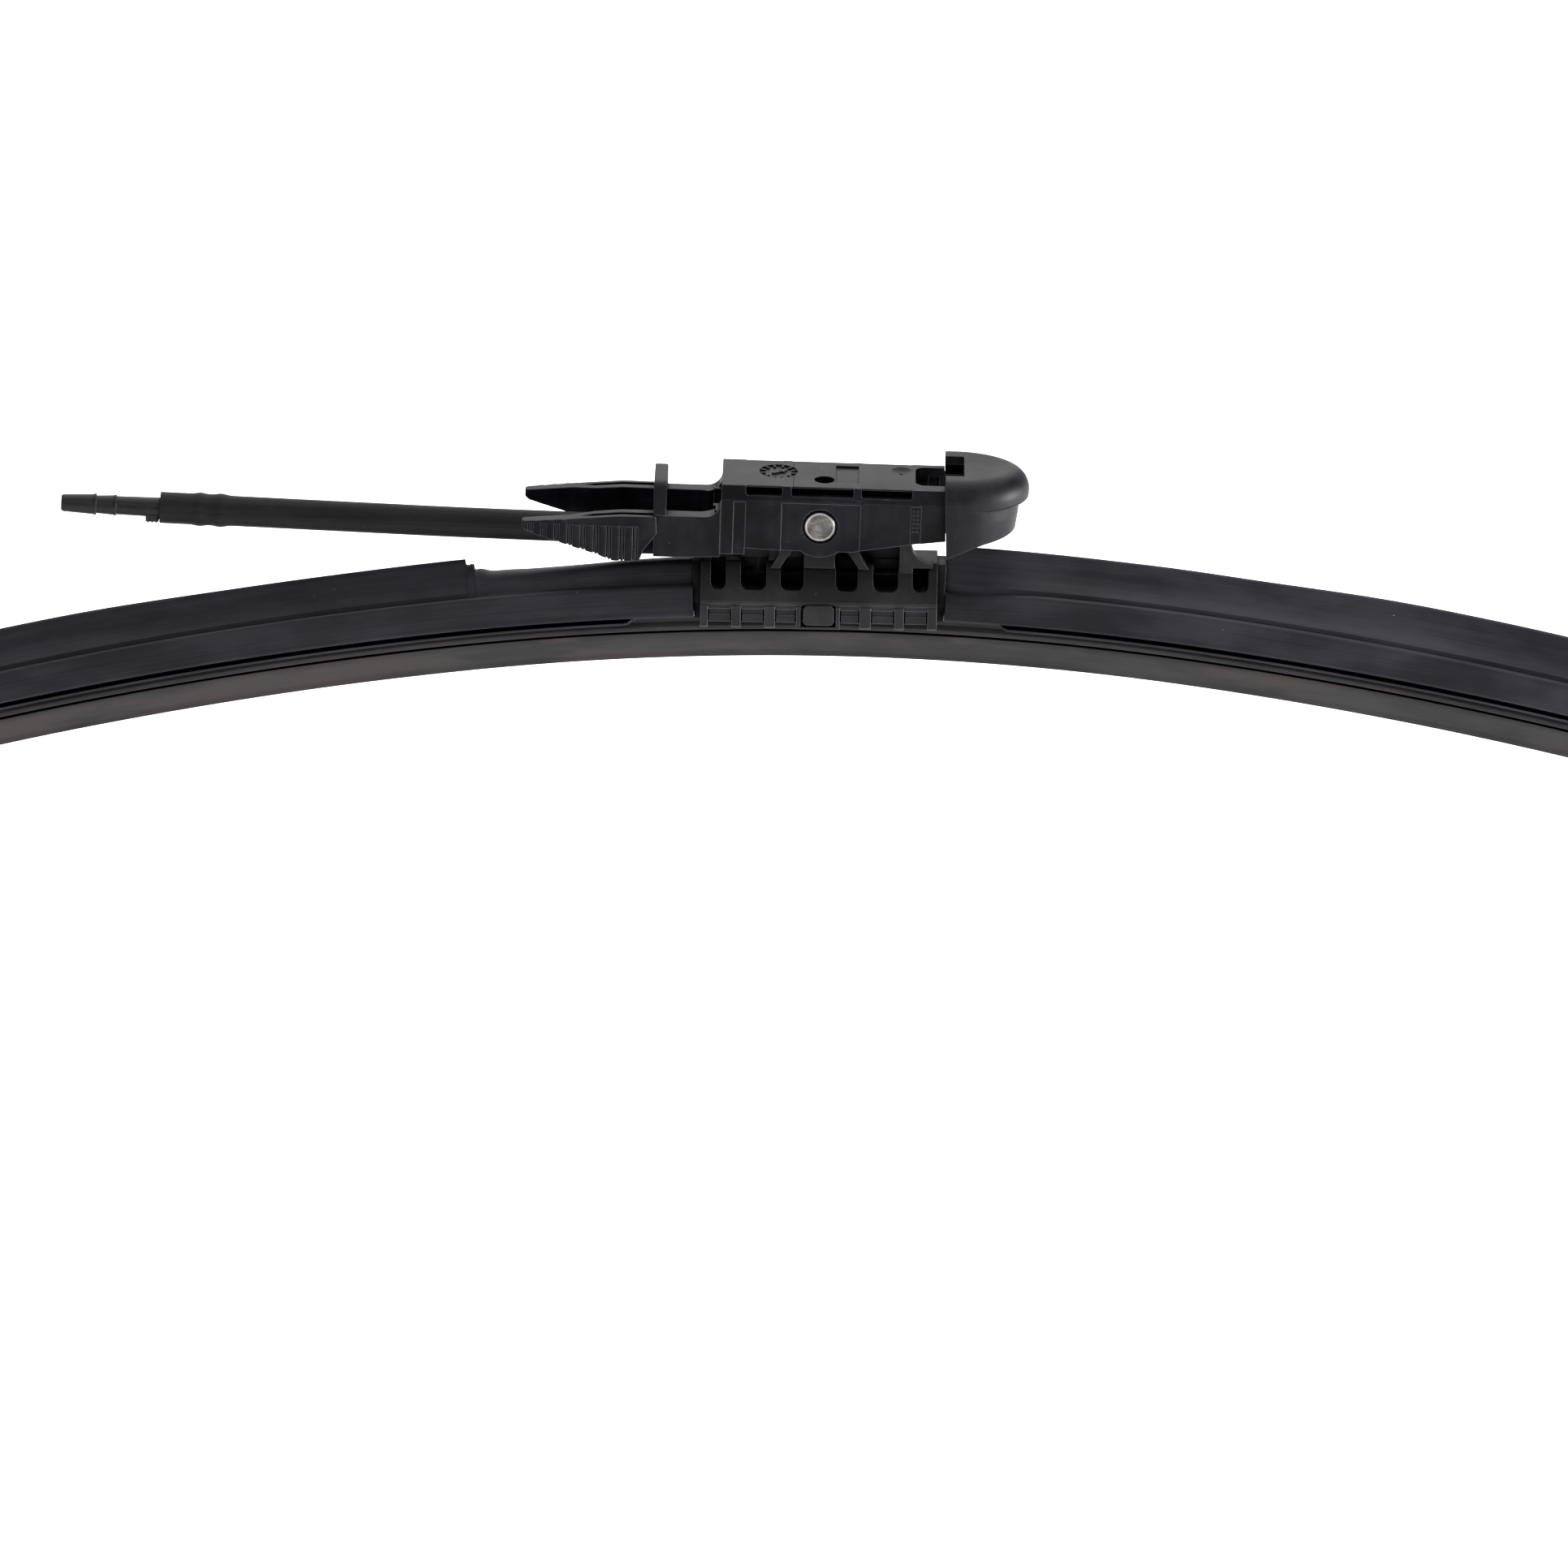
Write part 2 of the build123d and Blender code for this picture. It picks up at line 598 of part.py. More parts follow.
def strip_dots():
    """Two columns of small raised dots in the narrow strip between two panels."""
    dots = None
    side = ADAPTER_HALF_WIDTH - WALL_STEP
    for x in (14.95, 15.6):
        for z in (3.2, 2.5, 1.8, 1.1, 0.4, -0.3):
            dot = Pos(x, side, z) * Box(0.3, 0.2, 0.3)
            dots = dot if dots is None else dots + dot
    return dots + mirrored(dots)


def date_ring():
    """Recess of the moulding dial on the top face, round its raised ticks and its pointer."""
    dial = Cylinder(3.1, 0.5)
    for count in range(12):
        dial -= Rot(0, 0, 30 * count + 15) * Pos(2.55, 0, 0) * Box(0.8, 0.3, 1)
    head = Pos(0.9, 0, 0) * extrude(RegularPolygon(0.75, 3), amount=1, both=True)
    dial -= Rot(0, 0, 35) * (Box(2.4, 0.45, 1) + head)
    return Pos(-6.9, 1.0, ADAPTER_TOP) * dial


def adapter_body():
    """Moulded channel that the wiper arm clips over, with bores for the pin."""
    channel = [(CHANNEL_HALF_WIDTH, -9), (CHANNEL_HALF_WIDTH, 3.4), (4.9, ADAPTER_TOP - ROOF)]
    body = adapter_walls()
    body -= long_prism(channel + [(-y, z) for y, z in reversed(channel)], -20, 30)
    body -= chamfer_slots() + date_ring()
    body -= Pos(0.5, -2.3, 5.5) * Cylinder(1.65, 4)
    body -= box((2.3, 6.0), (-3.6, 4.4), (ADAPTER_TOP - 0.3, 7)) + box((-4.5, -4.4), (-5.9, 4.4), (6.1, 7))
    body -= Pos(12.9, 2.9, ADAPTER_TOP + 3.6) * Sphere(4.0)
    body -= Pos(12.8, 2.3, ADAPTER_TOP) * Cylinder(0.35, 1.6)
    body += box((14.4, 17.3), (-4.8, 5.8), (2.8, 5.0)) + strip_dots()
    shelf = Plane.XY * Pos(18.7, 0.65) * RectangleRounded(7.2, 8.4, 1.6)
    body -= Pos(0, 0, SHELF) * extrude(shelf, amount=5)
    body -= box((17.2, 22.3), (-3.4, 4.7), (2, 7))
    for side in (-1, 1):
        body += box((19.0, 25.5), sorted((side * 4.9, side * 6.4)), (-0.8, 5.2))
        body += box((-14.6, -13.0), sorted((side * 3.4, side * 6.2)), (-4.9, 2.0))
        body += box((-17.2, -14.5), sorted((side * 3.4, side * 4.4)), (-4.9, 2.0))
        body += box((-16.8, -15.8), sorted((side * 4.0, side * TONGUE)), (-4.9, 2.0))
    body -= cross_cylinder(PIN_RADIUS + PIN_RUNNING_GAP, 20)
    ring = cross_cylinder(PIN_RECESS_RADIUS, 20) - cross_cylinder(
        PIN_RECESS_RADIUS + 1, 2 * (ADAPTER_HALF_WIDTH - WALL_STEP - PIN_RECESS_DEPTH)
    )
    return body - ring


def cap_half_ellipse(nose, half_width, z_low, z_high):
    """Straight-sided plan outline that ends in half an ellipse at the nose."""
    oval = Pos(CAP_ARC_X, 0) * Ellipse(nose - CAP_ARC_X, half_width)
    plan = oval & (Pos(CAP_ARC_X + 10, 0) * Rectangle(20, 40))
    plan += Pos(CAP_ARC_X - 1, 0) * Rectangle(2, 2 * half_width)
    return Pos(0, 0, z_low) * extrude(plan, amount=z_high - z_low)


def nose_cap():
    """Snap-on hood at the adapter's end, open below and at the left."""
    upper = cap_half_ellipse(CAP_NOSE, CAP_HALF_WIDTH, CAP_LIP, CAP_TOP)
    rims = upper.edges().filter_by(Plane.XY)
    round_rims = [edge for edge in rims if edge.center().X > CAP_ARC_X - 1.9]
    upper = fillet([edge for edge in round_rims if edge.center().Z > CAP_LIP + 0.1], CAP_TOP_ROUND)
    low_rims = upper.edges().filter_by(Plane.XY).group_by(Axis.Z)[0]
    upper = fillet([edge for edge in low_rims if edge.center().X > CAP_ARC_X - 1.9], CAP_LIP_ROUND)
    skirt = cap_half_ellipse(CAP_SKIRT_NOSE, CAP_HALF_WIDTH, -6, CAP_LIP + 1)
    drafted = cap_half_ellipse(CAP_SKIRT_NOSE, CAP_HALF_WIDTH, -20, 10)
    drafted += box((10, 22), (-CAP_HALF_WIDTH, CAP_HALF_WIDTH), (-20, 10))
    skirt &= Pos(0, 0, CAP_LIP) * Rot(0, CAP_SKIRT_DRAFT, 0) * Pos(0, 0, -CAP_LIP) * drafted
    below = [(18, -7), (18, -4.85), (24.4, -2.3), (26.4, -1.8), (34, -0.95), (34, -7)]
    skirt -= side_prism(below, -11, 11)
    inside = CAP_HALF_WIDTH - CAP_WALL
    hollow = cap_half_ellipse(CAP_SKIRT_NOSE - CAP_WALL - 0.9, inside, -6, CAP_TOP - CAP_WALL)
    hollow += box((18, CAP_ARC_X), (-inside, inside), (-6, 7.0))
    cap = upper + skirt - hollow - box((18, 22.85), (-4.6, 4.55), (0, 10))
    seam_top = end_at(CAP_LEFT, ADAPTER_TOP)
    face = [(end_at(CAP_LEFT, -6), -6), (seam_top, ADAPTER_TOP), (seam_top, 10), (17, 10), (17, -6)]
    return cap - side_prism(face, -11, 11)


# --------------------------------------------------------------------- levers

GRIP_FACE = [(-47.2, 8.0), (-40.0, 8.3), (-31.0, 8.3), (-26.4, 8.15), (-25.0, 7.5)]


def lever_plan():
    """Plan of the rear lever: root, beam, and a grip that widens from its tip."""
    outer = [(LEVER_RIGHT, 7.5)] + list(reversed(GRIP_FACE))
    tip = [(LEVER_TIP, 7.6), (LEVER_TIP, 6.6), (-47.2, 6.3)]
    inner = [(-40.0, 6.3), (-36.0, 5.3), (-26.0, 5.0), (-19.0, 5.0), (-18.2, 4.6), (LEVER_RIGHT, 4.6)]
    return outer + tip + inner


def grip_face(x):
    """Distance of the grip's outer face from the XZ plane, at a place along it."""
    for (left, first), (right, last) in zip(GRIP_FACE, GRIP_FACE[1:]):
        if left <= x <= right:
            return first + (last - first) * (x - left) / (right - left)


def grip_ribs():
    """Places of the ribs along the grip."""
    return [RIB_FIRST + RIB_PITCH * count for count in range(RIB_COUNT)]


def grip_pads():
    """Domed pads between the ribs; beside the slot they stop short of the grip's top."""
    pads = None
    edge = RIB_HALF_WIDTH + RIB_GROOVE
    for left, right in zip(grip_ribs(), grip_ribs()[1:]):
        ends = [(x, grip_face(x) - 0.05) for x in (left + edge, right - edge)]
        crown = ((left + right) / 2, grip_face((left + right) / 2) + PAD_DOME)
        low = [(*point, -8.0) for point in (ends[0], crown, ends[1])]
        top = 6.0 if right < SLOT_TIP else PAD_CEILING
        lens = make_face([ThreePointArc(*low), Line(low[2], low[0])])
        pad = extrude(lens, amount=top + 8.0, dir=(0, 0, 1))
        pads = pad if pads is None else pads + pad
    return pads


def grip_grooves():
    """Thin grooves on both sides of every rib, below the grip's smooth upper rim."""
    cuts = None
    for x in grip_ribs():
        for offset in (-1, 1):
            place = x + offset * (RIB_HALF_WIDTH + RIB_GROOVE / 2)
            cut = Pos(place, grip_face(place), PAD_CEILING - 5) * Box(RIB_GROOVE, 0.9, 10)
            cuts = cut if cuts is None else cuts + cut
    return cuts


def lever_silhouette():
    """Side view of a lever: a straight beam and a grip that tapers to its tip."""
    top = make_face([
        Line((LEVER_RIGHT, 0, 3.1), (LEVER_RIGHT, 0, -5.6)),
        Polyline(
            (LEVER_RIGHT, 0, -5.6), (-22.0, 0, -5.9), (-28.6, 0, -5.9), (-28.9, 0, -6.5), (-33.2, 0, -6.5),
            (-35.6, 0, -5.5), (-45.5, 0, -2.5), (-47.0, 0, -2.0), (LEVER_TIP, 0, -1.5), (LEVER_TIP, 0, -0.35),
            (-32.0, 0, LEVER_TOP), (ROOT_ARC, 0, LEVER_TOP),
        ),
        ThreePointArc((ROOT_ARC, 0, LEVER_TOP), (-16.65, 0, 1.85), (LEVER_RIGHT, 0, 3.1)),
    ])
    return extrude(top, amount=10, dir=(0, 1, 0))


def lever(side):
    """Release lever with its ribbed grip; the rear one has side 1."""
    body = plan_prism(lever_plan(), -8, 6) + grip_pads() - grip_grooves()
    slot = [(-26.6, 6.4), (-26.6, 7.5), (-36.5, 7.5), (SLOT_TIP, 7.2), (-36.5, 6.5)]
    body -= plan_prism(slot, -10, 10)
    body &= lever_silhouette()
    pad_back = [(-26.3, 1.2), (-26.1, -1.9), (-28.2, -4.6), (-28.9, -7), (-20, -7), (-20, 1.2)]
    body -= side_prism(pad_back, 7.5, 10)
    body -= box((-16.95, -15), (4.0, TONGUE + 0.1), (-5.05, 2.15))
    return body if side > 0 else mirrored(body)


def hoop(side):
    """Half of the springy hoop that joins the two levers; it stands on its lever's top."""
    outer = [(8.0, LEVER_TOP), (4.4, HOOP_TOP), (HOOP_HALF_GAP, HOOP_TOP)]
    inner = [(HOOP_HALF_GAP, HOOP_TOP - 1.2), (3.8, HOOP_TOP - 1.2), (6.6, LEVER_TOP)]
    half = long_prism(outer + inner, HOOP_LEFT, HOOP_RIGHT)
    return half if side > 0 else mirrored(half)


def pivot_pin():
    """Steel pin with chamfered ends, pressed in the bracket."""
    pin = cross_cylinder(PIN_RADIUS, PIN_LENGTH)
    return chamfer(pin.edges().filter_by(GeomType.CIRCLE), PIN_CHAMFER)


level_nodes = {
    "adapter_body": adapter_body(),
    "nose_cap": nose_cap(),
    "lever_front": lever(-1),
    "lever_rear": lever(1),
    "hoop_front": hoop(-1),
    "hoop_rear": hoop(1),
    "pivot_pin": pivot_pin(),
    "washer_hose": washer_hose(),
    "hose_connector": hose_connector(),
}
tilted_nodes = {
    "center_bracket": center_bracket(),
    "rail_clamp_front": rail_clamp(-1),
    "rail_clamp_rear": rail_clamp(1),
    "washer_manifold": washer_manifold(),
    "spoiler_left": spoiler_left(),
    "spoiler_right": spoiler_right(),
    "rail_front": rail(-1),
    "rail_rear": rail(1),
    "rubber_element": rubber_element(),
    "end_cap_left": end_cap(-1),
    "end_cap_right": end_cap(1),
    "duct_plug_left": duct_plug(-1),
    "duct_plug_right": duct_plug(1),
}
for name, solid in level_nodes.items():
    export_step(solid, f"parts/{name}.step")
for name, solid in tilted_nodes.items():
    export_step(tilted(solid), f"parts/{name}.step")
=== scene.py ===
import math

import bmesh
import bpy
from mathutils import Matrix, Vector, noise


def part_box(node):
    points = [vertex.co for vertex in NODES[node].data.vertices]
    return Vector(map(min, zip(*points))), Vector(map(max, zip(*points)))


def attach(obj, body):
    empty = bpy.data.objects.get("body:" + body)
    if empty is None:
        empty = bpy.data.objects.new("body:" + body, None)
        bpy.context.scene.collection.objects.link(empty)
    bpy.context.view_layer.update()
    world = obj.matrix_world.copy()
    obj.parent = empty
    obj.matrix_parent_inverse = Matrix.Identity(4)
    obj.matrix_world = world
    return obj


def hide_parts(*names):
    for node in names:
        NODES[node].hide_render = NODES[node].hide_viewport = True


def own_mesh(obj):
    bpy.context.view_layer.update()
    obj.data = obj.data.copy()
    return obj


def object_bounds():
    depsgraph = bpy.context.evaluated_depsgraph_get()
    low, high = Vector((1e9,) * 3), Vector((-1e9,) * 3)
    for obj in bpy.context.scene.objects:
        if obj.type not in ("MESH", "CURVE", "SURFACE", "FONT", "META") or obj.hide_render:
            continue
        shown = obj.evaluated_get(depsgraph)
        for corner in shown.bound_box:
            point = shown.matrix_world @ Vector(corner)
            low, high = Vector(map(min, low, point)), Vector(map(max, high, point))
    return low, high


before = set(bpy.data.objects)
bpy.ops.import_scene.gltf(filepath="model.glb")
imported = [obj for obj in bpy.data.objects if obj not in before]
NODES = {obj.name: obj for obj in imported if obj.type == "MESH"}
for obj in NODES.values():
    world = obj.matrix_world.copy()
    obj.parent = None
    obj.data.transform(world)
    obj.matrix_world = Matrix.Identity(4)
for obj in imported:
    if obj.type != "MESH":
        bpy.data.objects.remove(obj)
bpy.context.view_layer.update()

MM = 0.001
GRAIN = 0.006 * MM              # depth of the fine grain on plastic and rubber


# ---------------------------------------------------------------- camera

CAMERA_DISTANCE = 1500 * MM
FIELD_WIDTH = 250.9 * MM        # width of the view at the pivot pin
CAMERA_PITCH = 22.2             # degrees below the horizon
CAMERA_ROLL = 1.85
PIN_IN_VIEW = (5.75 * MM, 41.07 * MM)   # the pin's front end, right of and above the view's centre


def make_camera():
    """Camera in front of the object, looking down on it."""
    pitch, roll = math.radians(CAMERA_PITCH), math.radians(CAMERA_ROLL)
    level_right = Vector((1, 0, 0))
    level_up = Vector((0, math.sin(pitch), math.cos(pitch)))
    forward = Vector((0, math.cos(pitch), -math.sin(pitch)))
    right = level_right * math.cos(roll) + level_up * math.sin(roll)
    up = level_up * math.cos(roll) - level_right * math.sin(roll)
    pin_end = Vector((0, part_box("pivot_pin")[0].y, 0))
    place = pin_end - (right * PIN_IN_VIEW[0] + up * PIN_IN_VIEW[1] + forward * CAMERA_DISTANCE)
    data = bpy.data.cameras.new("camera")
    data.sensor_width = 36.0
    data.lens = data.sensor_width * CAMERA_DISTANCE / FIELD_WIDTH
    data.clip_start, data.clip_end = 0.05, 20.0
    camera = bpy.data.objects.new("camera", data)
    turned = Matrix((right, up, -forward)).transposed().to_4x4()
    camera.matrix_world = Matrix.Translation(place) @ turned
    bpy.context.scene.collection.objects.link(camera)
    bpy.context.scene.camera = camera


make_camera()


# ---------------------------------------------------------------- materials

def srgb(*levels):
    """Linear colour from sRGB levels between 0 and 255."""
    linear = []
    for level in levels:
        share = level / 255
        linear.append(share / 12.92 if share <= 0.04045 else ((share + 0.055) / 1.055) ** 2.4)
    return (*linear, 1.0)


class Paint:
    """One procedural material, put together from noise, streaks, specks, edge wear with painted edge
    highlights, and painted shade in crevices.
    """

    def __init__(self, name, space="Object"):
        self.material = bpy.data.materials.new(name)
        self.material.use_nodes = True
        self.tree = self.material.node_tree
        self.shader = self.tree.nodes["Principled BSDF"]
        self.place = self.make("ShaderNodeTexCoord").outputs[space]

    def make(self, kind, inputs=None, **settings):
        """Add a node; an input takes a number, a colour or another node's output."""
        made = self.tree.nodes.new(kind)
        for name, value in settings.items():
            setattr(made, name, value)
        for name, value in (inputs or {}).items():
            self.feed(made.inputs[name], value)
        return made

    def feed(self, socket, value):
        """Link an output to a socket, or set the socket's own value."""
        if isinstance(value, bpy.types.NodeSocket):
            self.tree.links.new(value, socket)
        else:
            socket.default_value = value

    def noise(self, scale, detail=3.0, shift=0.0):
        """Noise from 0 to 1, with a scale in features per metre on each axis."""
        place = self.make("ShaderNodeMapping", {"Vector": self.place, "Scale": scale,
                                                "Location": (shift, shift, shift)})
        made = self.make("ShaderNodeTexNoise", {"Vector": place.outputs["Vector"], "Scale": 1.0,
                                                "Detail": detail, "Roughness": 0.6})
        return made.outputs["Fac"]

    def specks(self, scale, size):
        """1 in small scattered specks, 0 elsewhere."""
        place = self.make("ShaderNodeMapping", {"Vector": self.place, "Scale": scale})
        cells = self.make("ShaderNodeTexVoronoi", {"Vector": place.outputs["Vector"], "Scale": 1.0})
        dots = self.ramp(cells.outputs["Distance"], size, size * 0.5)
        chosen = self.ramp(self.make("ShaderNodeSeparateColor", {"Color": cells.outputs["Color"]}).outputs[0],
                           0.8, 0.95)
        return self.math("MULTIPLY", dots, chosen)

    def ramp(self, value, low, high, to_low=0.0, to_high=1.0):
        """Smooth step of a value between two limits."""
        made = self.make("ShaderNodeMapRange", {"Value": value, "From Min": low, "From Max": high,
                                                "To Min": to_low, "To Max": to_high},
                         interpolation_type="SMOOTHSTEP")
        return made.outputs["Result"]

    def math(self, operation, first, second):
        """Sum, product or another operation of two values."""
        return self.make("ShaderNodeMath", {0: first, 1: second}, operation=operation).outputs[0]

    def mix(self, share, first, second):
        """Colour between two colours."""
        made = self.make("ShaderNodeMixRGB", {"Fac": share, "Color1": first, "Color2": second})
        return made.outputs["Color"]

    def painted_shade_openness(self, distance, low=0.25, high=0.85):
        """1 on open surfaces, 0 deep in slots and corners: the mask for painted shade there."""
        made = self.make("ShaderNodeAmbientOcclusion", {"Distance": distance}, samples=4)
        return self.ramp(made.outputs["AO"], low, high)

    def edges(self, radius):
        """Rounded normal, and 1 near an edge within a radius."""
        rounded = self.make("ShaderNodeBevel", {"Radius": radius}, samples=6).outputs["Normal"]
        flat = self.make("ShaderNodeNewGeometry").outputs["Normal"]
        likeness = self.make("ShaderNodeVectorMath", {0: rounded, 1: flat}, operation="DOT_PRODUCT")
        return rounded, self.ramp(likeness.outputs["Value"], 0.99, 0.8)

    def finish(self, colour, roughness, height, depth, normal=None, **constants):
        """Connect colour, roughness and bump; the constants go on the shader's own sockets."""
        inputs = {"Height": height, "Strength": 1.0, "Distance": depth}
        if normal is not None:
            inputs["Normal"] = normal
        bump = self.make("ShaderNodeBump", inputs)
        self.feed(self.shader.inputs["Normal"], bump.outputs["Normal"])
        self.feed(self.shader.inputs["Base Color"], colour)
        self.feed(self.shader.inputs["Roughness"], roughness)
        for name, value in {"Specular IOR Level": 0.15, **constants}.items():
            self.feed(self.shader.inputs[name], value)
        return self.material


def moulded_plastic(name, dark, light, edge, rough, scuff=0.35, gloss=0.16, painted_shade_start=0.25):
    """Moulded plastic: flow clouds, grain, pale scuffs, worn edges that also carry painted edge highlights;
    painted shade, near black and without gloss, in slots and corners.
    """
    paint = Paint(name)
    clouds = paint.noise((90, 90, 90))
    flow = paint.noise((900, 900, 60), shift=3.0)
    fine = paint.noise((6000, 6000, 6000), detail=2.0)
    scratches = paint.noise((250, 250, 2600), detail=4.0, shift=7.0)
    scuffs = paint.math("MULTIPLY", paint.ramp(scratches, 0.6, 0.78), paint.ramp(clouds, 0.45, 0.7))
    dust = paint.specks((420, 420, 420), 0.055)
    normal, worn_and_highlit = paint.edges(0.22 * MM)
    shade = paint.math("MULTIPLY", paint.ramp(clouds, 0.36, 0.64), paint.ramp(flow, 0.2, 0.8, 0.6, 1.3))
    colour = paint.mix(shade, dark, light)
    colour = paint.mix(paint.math("MULTIPLY", scuffs, scuff), colour, edge)
    # edge colour on every edge: partly real wear, partly a painted highlight line
    colour = paint.mix(paint.math("MULTIPLY", worn_and_highlit, 0.8), colour, edge)
    colour = paint.mix(paint.math("MULTIPLY", dust, 0.45), colour, srgb(150, 150, 152))
    # painted shade: near black, with the gloss taken away, where a surface is less open than the threshold
    unshaded = paint.painted_shade_openness(7 * MM, painted_shade_start, painted_shade_start + 0.6)
    colour = paint.mix(unshaded, srgb(4, 4, 5), colour)
    roughness = paint.math("ADD", paint.ramp(clouds, 0.2, 0.8, rough - 0.07, rough + 0.07),
                           paint.math("MULTIPLY", fine, 0.08))
    height = paint.math("ADD", fine, paint.math("MULTIPLY", scratches, 0.6))
    shine = {"Specular IOR Level": paint.math("MULTIPLY", unshaded, gloss)}
    return paint.finish(colour, roughness, height, GRAIN, normal=normal, **shine)


def extruded_rubber(name, dark, light, rough, pale, warm=None, gloss=0.08):
    """Extruded rubber: die streaks along the blade, talc clouds and pale specks, mapped along it; painted
    shade, near black and without gloss, in creases and slots.
    """
    paint = Paint(name, space="UV")
    streaks = paint.noise((12, 2600, 1), detail=3.0)
    clouds = paint.noise((40, 110, 1), shift=5.0)
    fine = paint.noise((5000, 5000, 1), detail=2.0)
    dust = paint.specks((260, 380, 1), 0.04)
    blend = paint.math("ADD", paint.math("MULTIPLY", streaks, 0.25), paint.math("MULTIPLY", clouds, 0.75))
    colour = paint.mix(paint.ramp(blend, 0.36, 0.64), dark, light)
    if warm is not None:
        patches = paint.noise((30, 120, 1), shift=11.0)
        colour = paint.mix(paint.ramp(patches, 0.5, 0.62), colour, warm)
    colour = paint.mix(paint.math("MULTIPLY", dust, pale), colour, srgb(170, 170, 172))
    roughness = paint.math("ADD", paint.ramp(clouds, 0.2, 0.8, rough - 0.06, rough + 0.06),
                           paint.math("MULTIPLY", streaks, 0.06))
    height = paint.math("ADD", paint.math("MULTIPLY", streaks, 2.0), fine)
    # painted shade in the rubber's creases and slots, with the gloss taken away there
    unshaded = paint.painted_shade_openness(2.5 * MM, 0.3, 0.85)
    colour = paint.mix(unshaded, srgb(5, 5, 6), colour)
    shine = {"Specular IOR Level": paint.math("MULTIPLY", unshaded, gloss)}
    return paint.finish(colour, roughness, height, GRAIN, **shine)


def hose_rubber():
    """Matte hose: faint lengthwise die lines, cloudy bloom and dust."""
    paint = Paint("hose_rubber")
    streaks = paint.noise((14, 1500, 1500))
    clouds = paint.noise((120, 400, 400), shift=4.0)
    fine = paint.noise((4500, 4500, 4500), detail=2.0)
    dust = paint.specks((300, 420, 420), 0.05)
    blend = paint.math("ADD", paint.math("MULTIPLY", streaks, 0.5), paint.math("MULTIPLY", clouds, 0.5))
    colour = paint.mix(paint.ramp(blend, 0.3, 0.7), srgb(20, 20, 21), srgb(32, 32, 33))
    colour = paint.mix(paint.math("MULTIPLY", dust, 0.4), colour, srgb(150, 150, 150))
    roughness = paint.ramp(clouds, 0.2, 0.8, 0.5, 0.62)
    height = paint.math("ADD", streaks, fine)
    return paint.finish(colour, roughness, height, GRAIN, **{"Specular IOR Level": 0.08})


def turned_steel(name, dark, light, rough):
    """Bare steel: drawn along the pin, cross scratches, faint tarnish, and bright edges that are partly wear
    and partly a painted highlight.
    """
    paint = Paint(name)
    drawn = paint.noise((3500, 160, 3500))
    scratches = paint.noise((900, 2500, 5200), detail=4.0, shift=2.0)
    clouds = paint.noise((260, 260, 260), shift=6.0)
    normal, worn_and_highlit = paint.edges(0.35 * MM)
    colour = paint.mix(paint.ramp(clouds, 0.4, 0.6), dark, light)
    scored = paint.math("MULTIPLY", paint.ramp(scratches, 0.52, 0.68), 0.9)
    colour = paint.mix(scored, colour, srgb(60, 58, 55))
    # bright edges: partly bare worn steel, partly a painted highlight
    colour = paint.mix(worn_and_highlit, colour, srgb(232, 230, 226))
    roughness = paint.ramp(drawn, 0.2, 0.8, rough - 0.08, rough + 0.12)
    height = paint.math("ADD", scratches, paint.math("MULTIPLY", drawn, 0.5))
    return paint.finish(colour, roughness, height, 0.012 * MM, normal=normal, **{"Metallic": 1.0})


ADAPTER = moulded_plastic("adapter_plastic", srgb(4, 4, 6), srgb(23, 23, 28), srgb(96, 96, 101), 0.36,
                          scuff=0.5, gloss=0.08)
CAP = moulded_plastic("cap_plastic", srgb(8, 8, 10), srgb(21, 21, 25), srgb(84, 84, 89), 0.42, scuff=0.2,
                      gloss=0.12)
# the bracket's painted shade starts at a higher openness, so its slots and windows are painted darker
BRACKET = moulded_plastic("bracket_plastic", srgb(20, 20, 21), srgb(36, 36, 37), srgb(84, 84, 86), 0.45,
                          painted_shade_start=0.38)
CLAMP = moulded_plastic("clamp_plastic", srgb(20, 20, 22), srgb(32, 32, 35), srgb(100, 100, 104), 0.5,
                        scuff=0.6)
END_CAP = moulded_plastic("end_cap_plastic", srgb(16, 16, 18), srgb(26, 26, 28), srgb(62, 62, 65), 0.48)
FLUID = moulded_plastic("fluid_plastic", srgb(18, 18, 19), srgb(32, 32, 33), srgb(80, 80, 80), 0.4)
SPOILER = extruded_rubber("spoiler_rubber", srgb(25, 25, 29), srgb(42, 42, 48), 0.43, 0.5, gloss=0.12)
LIP = extruded_rubber("lip_rubber", srgb(43, 42, 43), srgb(55, 54, 55), 0.6, 0.35, warm=srgb(57, 53, 52))
HOSE = hose_rubber()
RAIL = turned_steel("rail_steel", srgb(120, 120, 122), srgb(165, 165, 168), 0.35)
PIN = turned_steel("pin_steel", srgb(70, 68, 66), srgb(108, 106, 103), 0.34)

PLAIN_NODES = {
    "adapter_body": ADAPTER,
    "nose_cap": CAP,
    "lever_front": ADAPTER,
    "lever_rear": ADAPTER,
    "center_bracket": BRACKET,
    "rail_clamp_front": CLAMP,
    "rail_clamp_rear": CLAMP,
    "washer_manifold": FLUID,
    "hose_connector": FLUID,
    "end_cap_left": END_CAP,
    "end_cap_right": END_CAP,
    "duct_plug_left": FLUID,
    "duct_plug_right": FLUID,
    "rail_front": RAIL,
    "rail_rear": RAIL,
}


def dress_nodes():
    """Give each node that stays visible its material."""
    for name, material in PLAIN_NODES.items():
        mesh = NODES[name].data
        mesh.materials.clear()
        mesh.materials.append(material)


dress_nodes()


# ---------------------------------------------------------------- pieces

